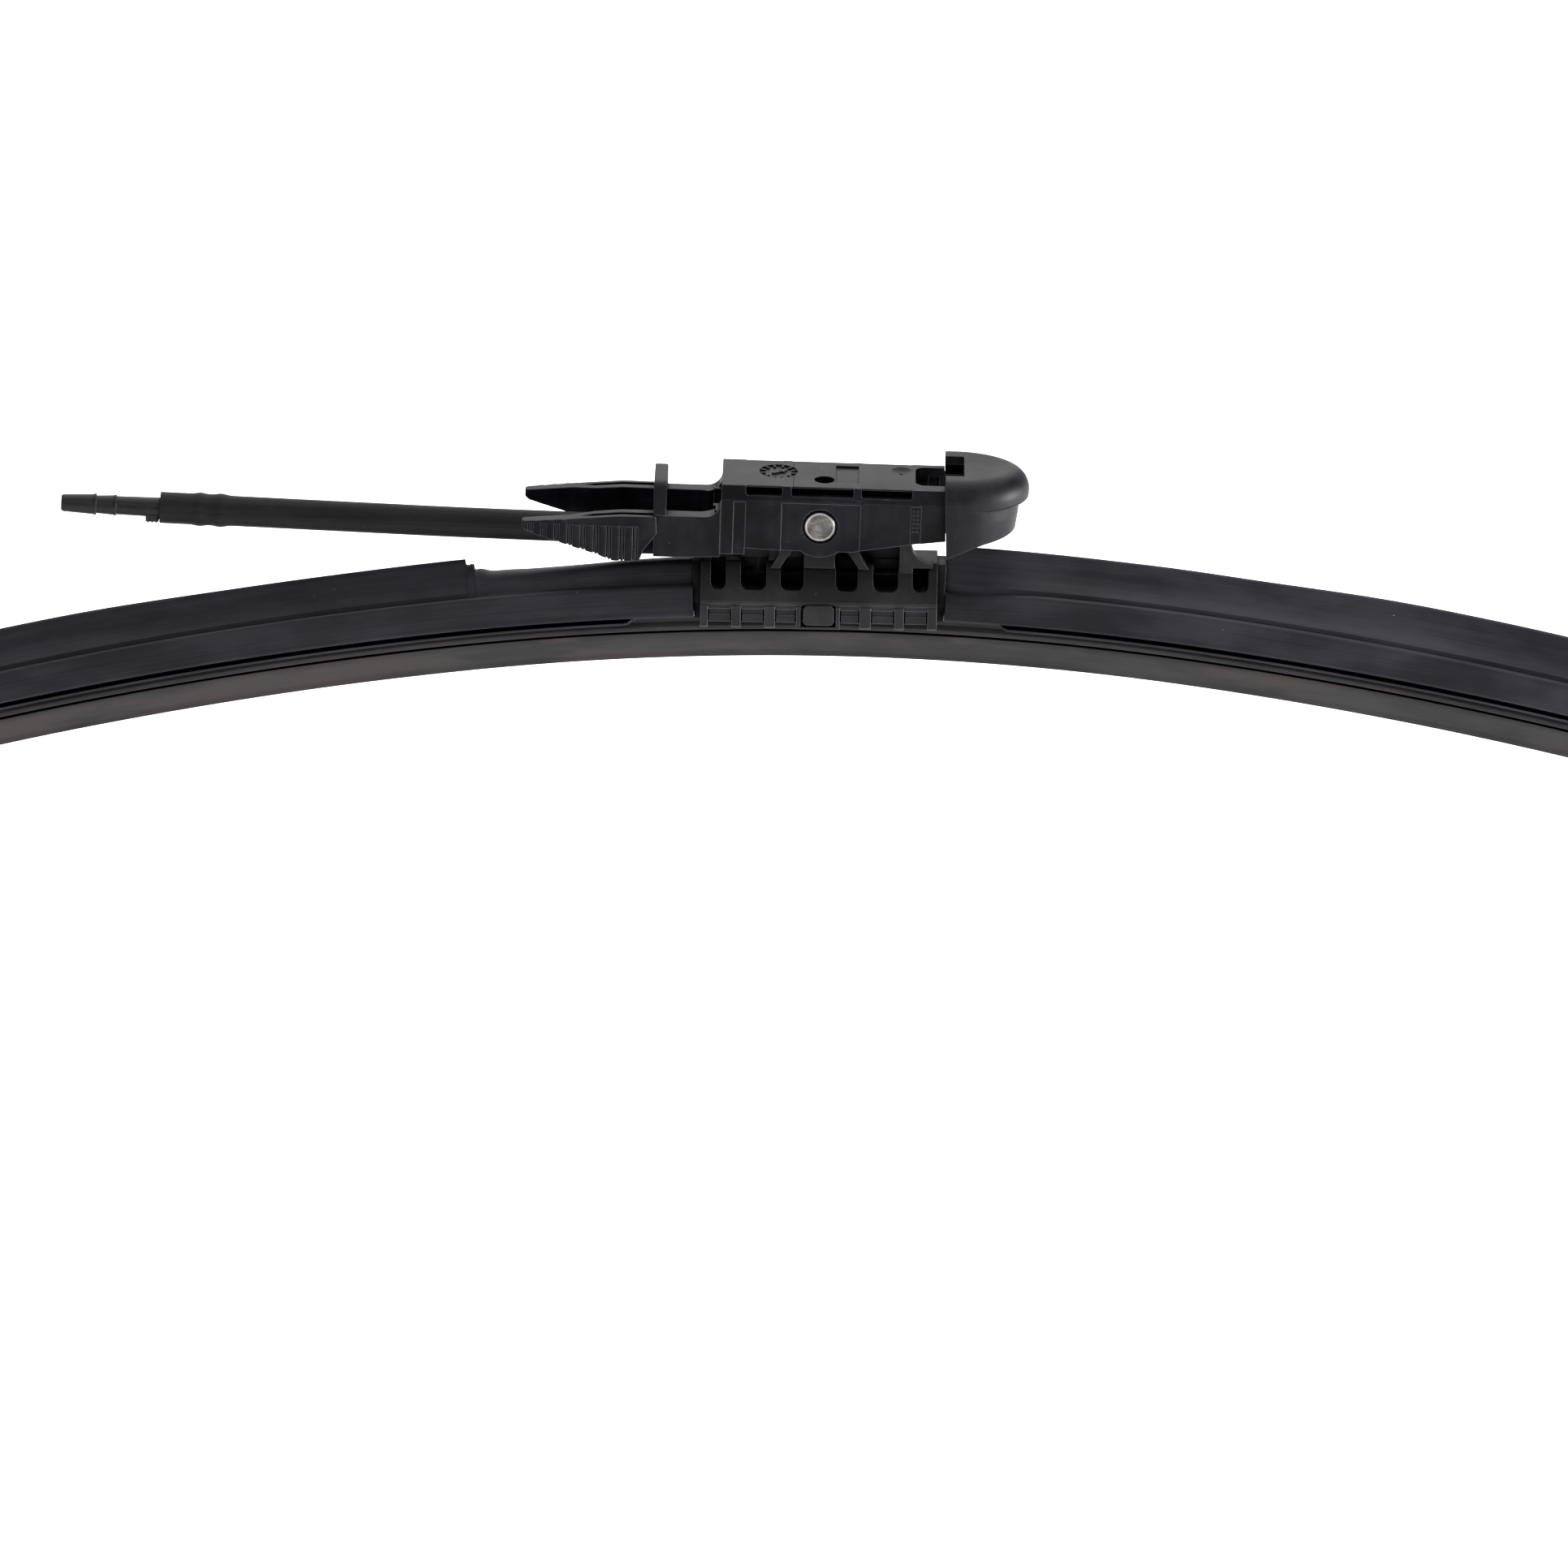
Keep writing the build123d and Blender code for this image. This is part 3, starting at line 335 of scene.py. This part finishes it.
def add_piece(name, vertices, faces, body, material, sharp=32.0):
    """Closed mesh piece that rides on a body; vertices are in millimetres."""
    mesh = bpy.data.meshes.new(name)
    mesh.from_pydata([Vector(vertex) * MM for vertex in vertices], [], faces)
    work = bmesh.new()
    work.from_mesh(mesh)
    bmesh.ops.recalc_face_normals(work, faces=work.faces)
    work.to_mesh(mesh)
    work.free()
    mesh.materials.append(material)
    mesh.shade_smooth()
    mesh.set_sharp_from_angle(angle=math.radians(sharp))
    piece = bpy.data.objects.new(name, mesh)
    bpy.context.scene.collection.objects.link(piece)
    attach(piece, body)
    return piece


def rounded(corners, steps=3):
    """Closed outline through (y, z, radius) corners, each with a radius above 0 rounded."""
    points = []
    for index, (y, z, radius) in enumerate(corners):
        if radius == 0:
            points.append((y, z))
            continue
        here = Vector((y, z))
        before = Vector(corners[index - 1][:2]) - here
        after = Vector(corners[(index + 1) % len(corners)][:2]) - here
        first = here + before.normalized() * min(radius, 0.45 * before.length)
        last = here + after.normalized() * min(radius, 0.45 * after.length)
        for step in range(steps + 1):
            share = step / steps
            bend = first * (1 - share) ** 2 + here * 2 * share * (1 - share) + last * share ** 2
            points.append(tuple(bend))
    return points


def arc_points(first, middle, last, count):
    """Points along the circle through three (y, z) points, both ends included."""
    (ay, az), (by, bz), (cy, cz) = first, middle, last
    turn = 2 * (ay * (bz - cz) + by * (cz - az) + cy * (az - bz))
    squares = [y * y + z * z for y, z in (first, middle, last)]
    centre_y = (squares[0] * (bz - cz) + squares[1] * (cz - az) + squares[2] * (az - bz)) / turn
    centre_z = (squares[0] * (cy - by) + squares[1] * (ay - cy) + squares[2] * (by - ay)) / turn
    radius = math.hypot(ay - centre_y, az - centre_z)
    start = math.atan2(az - centre_z, ay - centre_y)
    sweep = math.remainder(math.atan2(cz - centre_z, cy - centre_y) - start, math.tau)
    angles = [start + sweep * step / (count - 1) for step in range(count)]
    return [(centre_y + radius * math.cos(angle), centre_z + radius * math.sin(angle)) for angle in angles]


# ---------------------------------------------------------------- blade curve

HALF_SPAN = 300.0
BLADE_ARCS = ((60.0, 457.0), (160.0, 657.0), (HALF_SPAN, 957.0))    # each arc's end along the blade, its bend
RAIL_Z = -15.45
REST_TILT = -0.91
SPOILER_END = 280.0
LEFT_SPOILER_FACE = -20.1
RIGHT_SPOILER_FACE = 20.2


def station(run):
    """Place of the blade's cross-section at a distance along it from the middle, left negative."""
    side = math.copysign(1.0, run)
    x, z, turn, start = 0.0, RAIL_Z, 0.0, 0.0
    for end, bend in BLADE_ARCS:
        length = min(abs(run), end) - start
        if length <= 0:
            break
        after = turn + length / bend
        x += bend * (math.sin(after) - math.sin(turn))
        z -= bend * (math.cos(turn) - math.cos(after))
        turn, start = after, end
    tilt = Matrix.Rotation(math.radians(REST_TILT), 4, "Y")
    turned = Matrix.Rotation(side * turn, 4, "Y")
    return tilt @ Matrix.Translation((side * x, 0, z)) @ turned @ Matrix.Translation((0, 0, -RAIL_Z))


def sweep(name, runs, outline, slot, material):
    """Closed piece with an outline(run) of (y, z) points at each distance along the blade."""
    vertices, lengths = [], []
    for run in runs:
        place = station(run)
        ring = outline(run)
        vertices += [place @ Vector((0, y, z)) for y, z in ring]
        lengths.append([math.dist(ring[index - 1], ring[index]) for index in range(len(ring))])
    count = len(ring)
    faces = []
    for row in range(len(runs) - 1):
        for column in range(count):
            after = (column + 1) % count
            near, far = row * count, (row + 1) * count
            faces.append((near + column, near + after, far + after, far + column))
    last = (len(runs) - 1) * count
    faces.append(tuple(reversed(range(count))))
    faces.append(tuple(last + column for column in range(count)))
    piece = add_piece(name, vertices, faces, "blade", material)
    map_along(piece.data, runs, lengths[0])
    return piece


def map_along(mesh, runs, lengths):
    """Texture map in metres: distance along the blade, and distance round the outline."""
    around = [sum(lengths[1:column + 1]) for column in range(len(lengths))]
    layer = mesh.uv_layers.new(name="along")
    count = len(lengths)
    for polygon in mesh.polygons:
        columns = [mesh.loops[loop].vertex_index % count for loop in polygon.loop_indices]
        wraps = len(columns) == 4 and max(columns) == count - 1 and min(columns) == 0
        for loop, column in zip(polygon.loop_indices, columns):
            run = runs[mesh.loops[loop].vertex_index // count]
            distance = sum(lengths) if wraps and column == 0 else around[column]
            layer.data[loop].uv = (run * MM, distance * MM)


def stations(first, last, pitch, fine=()):
    """Distances along the blade at a pitch, closer together within each (from, to, pitch) span."""
    runs = {round(first, 3), round(last, 3)}
    for low, high, step in ((first, last, pitch), *fine):
        runs.update(round(low + step * count, 3) for count in range(int((high - low) / step) + 1))
    ordered = sorted(run for run in runs if first <= run <= last)
    return [run for index, run in enumerate(ordered) if index == 0 or run - ordered[index - 1] > 0.04]


def between(value, low, high):
    """Smooth step from 0 at low to 1 at high."""
    share = min(1.0, max(0.0, (value - low) / (high - low)))
    return share * share * (3 - 2 * share)


def wave(run, shift, pitch, size):
    """Slow unevenness of rubber along the blade."""
    return size * noise.noise(Vector((run / pitch, shift, 0)))


# ---------------------------------------------------------------- spoilers

SKIRT = 7.8
SLOT_LOW = -15.95
SLOT_HIGH = -14.95
FIN_STEPS = ((-56.1, 1.0), (-54.8, 0.6), (-54.0, 0.24))   # the torn fin: height kept up to each place
FIN_FOOT = -46.0
CROWN_LIFT = 0.6                # the crown rises towards the bracket
STRIP_ENDS = (-30.0, 29.4)      # no lower strip between these
STRIP_GROOVE = 5.9              # half width inside the groove over the lower strip
RIGHT_GROOVE_END = 36.0


def fin_height(run):
    """Share of the fin that is left: whole, torn away in steps under the hose, then none."""
    if run > 0:
        return 1.0
    ragged = 0.05 * noise.noise(Vector((run * 3.1, 0, 0)))
    for end, share in FIN_STEPS:
        if run < end:
            return share if share == 1.0 else share + ragged
    hollow = (1 - between(run, FIN_STEPS[-1][0], -51.0)) ** 2 * 0.2
    return hollow + 0.04 * (1 - between(run, -50.0, FIN_FOOT))


def tip_rise(run):
    """How much higher the fin's tip stands than its plain height."""
    low_left = -0.55 * between(run, -125, -88) * (1 - between(run, -57, -50))
    near_bracket = 0.2 * (1 - between(run, 30, 50))
    high_right = near_bracket + 0.65 * between(run, 62, 100) * (1 - between(run, 150, 230))
    return low_left if run < 0 else high_right


def strip_share(run):
    """1 where the lower strip is whole, 0 near the bracket, ragged where it was cut."""
    left, right = STRIP_ENDS
    gone = between(run, left - 1.2, left + 0.6) * (1 - between(run, right - 0.6, right + 1.2))
    ragged = 0.45 * noise.noise(Vector((run * 2.3, 4.0, 0))) if 0.02 < gone < 0.98 else 0.0
    return min(1.0, max(0.0, 1 - gone + ragged))


def skirt_corners(side, strip):
    """One skirt from its lower strip up to its shoulder's foot."""
    bottom = -16.0 - 0.6 * strip
    inset = 0.8 + (1 - strip)
    corners = [
        (4.4, bottom, 0),
        (SKIRT - inset, bottom, 0.12),
        (SKIRT - inset + 0.05, bottom + 0.42, 0.1),
        (STRIP_GROOVE, bottom + 0.47, 0),
        (STRIP_GROOVE, -15.3, 0),
        (SKIRT - 0.05, -15.2, 0.12),
        (SKIRT, -14.8, 0.3),
    ]
    return [(side * y, z, radius) for y, z, radius in corners]


def slot_corners():
    """Inside of a spoiler: slots for the rails and room for the rubber's head."""
    right = [
        (4.4, SLOT_LOW, 0),
        (5.65, SLOT_LOW, 0),
        (5.65, SLOT_HIGH, 0),
        (3.2, SLOT_HIGH, 0),
        (3.2, -13.7, 0),
    ]
    return right + [(-y, z, radius) for y, z, radius in reversed(right)]


def mixed(first, second, share):
    """Corners between two lists, a share of the way from the first to the second."""
    return [tuple(a + (b - a) * share for a, b in zip(one, two)) for one, two in zip(first, second)]


def fin_back(run):
    """Upper part with the fin, from the front shoulder over the tip to the rear shoulder."""
    rise = tip_rise(run) + wave(run, 1.0, 23, 0.12)
    lean = wave(run, 2.0, 31, 0.15)
    face = arc_points((-3.2, -10.6), (-0.6 + lean, -8.75), (1.1 + lean, -6.1 + rise), 9)
    back = arc_points((1.9 + lean, -6.1 + rise), (5.1, -10.3), (SKIRT, -14.8), 11)
    lowered = 1 - between(run, 24, RIGHT_GROOVE_END) if run > 0 else 0.0
    corners = [(-5.5, -10.8 - 0.8 * lowered, 0.4), (-4.6, -10.85 - 0.65 * lowered, 0.2), (-3.7, -11.75, 0.15)]
    corners += [(y, z, 0) for y, z in face]
    corners.append((1.5 + lean, -5.9 + rise, 0))
    return corners + [(y, z, 0) for y, z in back[:-1]]


def round_back(run):
    """Upper part without the fin: a tube-like crown between two shoulders."""
    swell = wave(run, 3.0, 17, 0.06)
    swell += CROWN_LIFT * between(run, -42.0, -22.0)
    crown = arc_points((-3.05, -10.5), (0, -8.6 + swell), (3.05, -10.5), 15)
    corners = [(-5.5, -10.9, 0.4), (-4.3, -10.95, 0.25), (-3.6, -11.0, 0.2)]
    corners += [(y, z, 0) for y, z in crown]
    corners += [(3.6, -11.0, 0), (4.5, -10.95, 0), (5.5, -10.9, 0), (6.1, -11.94, 0), (6.7, -12.97, 0)]
    return corners


def spoiler_outline(run):
    """Outline of a spoiler at a distance along the blade."""
    strip = strip_share(run)
    upper = mixed(round_back(run), fin_back(run), fin_height(run))
    rear = list(reversed(skirt_corners(1, strip)))
    return rounded(skirt_corners(-1, strip) + upper + rear + slot_corners())


def make_spoilers():
    """Both rubber spoilers, the left one with its fin torn away under the hose."""
    left_runs = stations(-SPOILER_END, LEFT_SPOILER_FACE, 4.0,
                         ((-56.4, -53.6, 0.1), (-53.6, -45.0, 0.5), (-32.5, -28.5, 0.15)))
    right_runs = stations(RIGHT_SPOILER_FACE, SPOILER_END, 4.0, ((27.5, 31.5, 0.15), (20.2, 40.0, 1.0)))
    for name, runs in (("left", left_runs), ("right", right_runs)):
        piece = sweep(f"spoiler_{name}_rubber", runs, spoiler_outline, "spoiler_rubber", SPOILER)
        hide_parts(f"spoiler_{name}")


make_spoilers()


# ---------------------------------------------------------------- squeegee

def squeegee_outline(run):
    """Head between the rails, flange under them, hinge neck, wedge and wiping edge."""
    flange = wave(run, 6.0, 29, 0.08)
    edge = wave(run, 7.0, 37, 0.12)
    right = [
        (2.6, -14.0, 0.2),
        (2.6, SLOT_HIGH, 0),
        (0.95, SLOT_HIGH, 0),
        (0.95, SLOT_LOW, 0),
        (2.3, SLOT_LOW, 0),
        (2.3, -18.05, 0),
        (3.0 + flange, -18.6, 0.15),
        (3.0 + flange, -19.3, 0.15),
        (0.55, -19.3, 0),
        (0.55, -19.9, 0),
        (2.3, -19.9, 0.2),
        (2.1, -20.7, 0.3),
        (0.36, -24.0, 0.4),
        (0.33, -24.93, 0.04),
    ]
    left = [(-y, z, radius) for y, z, radius in reversed(right)]
    leaned = []
    for y, z, radius in right + left:
        share = between(-z, 19.9, 24.5)
        leaned.append((y + edge * share, z, radius))
    return rounded(leaned)


def make_squeegee():
    """Rubber element with its wiping edge."""
    runs = stations(-HALF_SPAN, HALF_SPAN, 4.0)
    piece = sweep("squeegee_rubber", runs, squeegee_outline, "lip_rubber", LIP)
    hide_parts("rubber_element")


make_squeegee()


# ---------------------------------------------------------------- hose

HOSE_ROUTE = [(-106.15, 0.0, -3.05), (-79.0, 0.5, -3.73), (-52.0, 0.3, -4.18), (-18.0, 0.0, -4.2)]
HOSE_RADIUS = 2.45
HOSE_SWELLS = (6.4, 9.7)        # barbs inside, this far from the hose's end
SWELL_RADIUS = 2.72
SLEEVE_END = 12.6               # the stretched sleeve reaches this far along the hose


def lathe(name, outline, place, body, material, count=48):
    """Closed turned piece from (radius, height) points about the Z axis of a place."""
    vertices = []
    for radius, height in outline:
        for step in range(count):
            angle = math.tau * step / count
            vertices.append(place @ Vector((radius * math.cos(angle), radius * math.sin(angle), height)))
    faces = []
    for row in range(len(outline)):
        near, far = row * count, ((row + 1) % len(outline)) * count
        for step in range(count):
            after = (step + 1) % count
            faces.append((near + step, near + after, far + after, far + step))
    return add_piece(name, vertices, faces, body, material)


def pointing(start, end):
    """Place at a start point with its Z axis towards an end point."""
    away = Vector(end) - Vector(start)
    return Matrix.Translation(start) @ away.to_track_quat("Z", "Y").to_matrix().to_4x4()


def make_hose():
    """Washer hose on its route, and the stretched sleeve over the connector's barbs."""
    curve = bpy.data.curves.new("washer_hose_tube", "CURVE")
    curve.dimensions = "3D"
    curve.bevel_depth = HOSE_RADIUS * MM
    curve.bevel_resolution = 9
    curve.use_fill_caps = True
    spline = curve.splines.new("NURBS")
    spline.points.add(len(HOSE_ROUTE) - 1)
    for point, place in zip(spline.points, HOSE_ROUTE):
        point.co = (*[value * MM for value in place], 1)
    spline.order_u = 3
    spline.use_endpoint_u = True
    spline.resolution_u = 24
    hose = bpy.data.objects.new("washer_hose_tube", curve)
    bpy.context.scene.collection.objects.link(hose)
    curve.materials.append(HOSE)
    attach(hose, "blade")
    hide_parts("washer_hose")
    outer = [(HOSE_RADIUS - 0.03, SLEEVE_END)]
    for step in range(41):
        height = 12.4 - 12.3 * step / 40
        swell = max(math.exp(-((height - place) / 0.9) ** 2) for place in HOSE_SWELLS)
        lift = 0.1 * between(12.4 - height, 0, 2.5)
        outer.append((HOSE_RADIUS - 0.02 + lift + (SWELL_RADIUS - HOSE_RADIUS - 0.08) * swell, height))
    inner = [(1.6, 0.0), (1.6, SLEEVE_END)]
    sleeve = lathe("hose_end_sleeve", outer + [(HOSE_RADIUS, -0.02)] + inner,
                   pointing(HOSE_ROUTE[0], HOSE_ROUTE[1]), "blade", HOSE)


make_hose()


# ---------------------------------------------------------------- hoop

HOOP_X = (-26.75, -24.65)
HOOP_PATH = [(-7.45, 1.0), (-6.9, 2.0), (-4.7, 4.95), (-3.6, 5.2), (0.0, 5.2)]
HOOP_HALF_THICKNESS = 0.6
HOOP_BEND = 1.2
HOOP_EDGE = 0.22


def make_hoop():
    """Springy hoop across both levers."""
    path = HOOP_PATH + [(-y, z) for y, z in reversed(HOOP_PATH[:-1])]
    ends = (0, len(path) - 1)
    corners = [(y, z, 0 if index in ends else HOOP_BEND) for index, (y, z) in enumerate(path)]
    smooth = rounded(corners, 5)
    low, high = HOOP_X
    vertices, faces = [], []
    for index, here in enumerate(smooth):
        before = Vector(smooth[max(index - 1, 0)])
        after = Vector(smooth[min(index + 1, len(smooth) - 1)])
        along = (after - before).normalized()
        out = Vector((-along.y, along.x))
        half = HOOP_HALF_THICKNESS
        section = rounded([(low, -half, HOOP_EDGE), (high, -half, HOOP_EDGE),
                           (high, half, HOOP_EDGE), (low, half, HOOP_EDGE)])
        for x, offset in section:
            place = Vector(here) + out * offset
            vertices.append((x, place.x, place.y))
    count = len(section)
    for row in range(len(smooth) - 1):
        for column in range(count):
            after = (column + 1) % count
            near, far = row * count, (row + 1) * count
            faces.append((near + column, near + after, far + after, far + column))
    last = (len(smooth) - 1) * count
    faces.append(tuple(reversed(range(count))))
    faces.append(tuple(last + column for column in range(count)))
    piece = add_piece("lever_hoop", vertices, faces, "adapter", ADAPTER)
    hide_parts("hoop_front", "hoop_rear")
    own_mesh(piece)


make_hoop()


# ---------------------------------------------------------------- pin

PIN_RADIUS = 2.5
PIN_HALF_LENGTH = 7.5


def make_pin():
    """Steel pin with a bright chamfer and a slightly sunk, sheared face at each end."""
    half = [
        (0.0001, -0.12),
        (1.95, -0.12),
        (2.1, -0.1),
        (2.22, 0.0),
        (2.34, -0.02),
        (2.46, -0.16),
        (PIN_RADIUS, -0.34),
    ]
    front = [(radius, PIN_HALF_LENGTH + drop) for radius, drop in half]
    back = [(radius, -PIN_HALF_LENGTH - drop) for radius, drop in reversed(half)]
    place = pointing((0, 0, 0), (0, -1, 0))
    pin = lathe("pivot_pin_steel", front + back, place, "blade", PIN)
    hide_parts("pivot_pin")


make_pin()


# ---------------------------------------------------------------- stage

def make_stage():
    """Pale floor under the object and soft studio lights."""
    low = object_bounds()[0].z
    mesh = bpy.data.meshes.new("floor")
    half = 6.0
    corners = [(-half, -half, low), (half, -half, low), (half, half, low), (-half, half, low)]
    mesh.from_pydata(corners, [], [(0, 1, 2, 3)])
    floor = bpy.data.objects.new("floor", mesh)
    bpy.context.scene.collection.objects.link(floor)
    paper = bpy.data.materials.new("floor_paper")
    paper.use_nodes = True
    shader = paper.node_tree.nodes["Principled BSDF"]
    shader.inputs["Base Color"].default_value = (0.9, 0.9, 0.9, 1)
    shader.inputs["Roughness"].default_value = 0.9
    shader.inputs["Emission Color"].default_value = (1, 1, 1, 1)
    shader.inputs["Emission Strength"].default_value = 0.85
    mesh.materials.append(paper)
    world = bpy.data.worlds.new("studio")
    world.use_nodes = True
    world.node_tree.nodes["Background"].inputs["Color"].default_value = (1, 1, 1, 1)
    world.node_tree.nodes["Background"].inputs["Strength"].default_value = 0.14
    bpy.context.scene.world = world
    for name, place, size, power in (
        ("top_softbox", (0.0, 0.35, 1.3), 1.6, 22.0),
        ("back_softbox", (0.0, 1.3, 0.7), 1.2, 10.5),
        ("right_softbox", (0.85, -0.09, -0.01), 0.3, 24.0),
        ("front_softbox", (-0.3, -1.25, 1.0), 0.8, 7.0),
    ):
        data = bpy.data.lights.new(name, "AREA")
        data.shape = "SQUARE"
        data.size = size
        data.energy = power
        light = bpy.data.objects.new(name, data)
        light.location = place
        light.rotation_euler = (-Vector(place)).to_track_quat("-Z", "Y").to_euler()
        light.visible_camera = False
        bpy.context.scene.collection.objects.link(light)
    bpy.context.scene.view_settings.view_transform = "Standard"


make_stage()
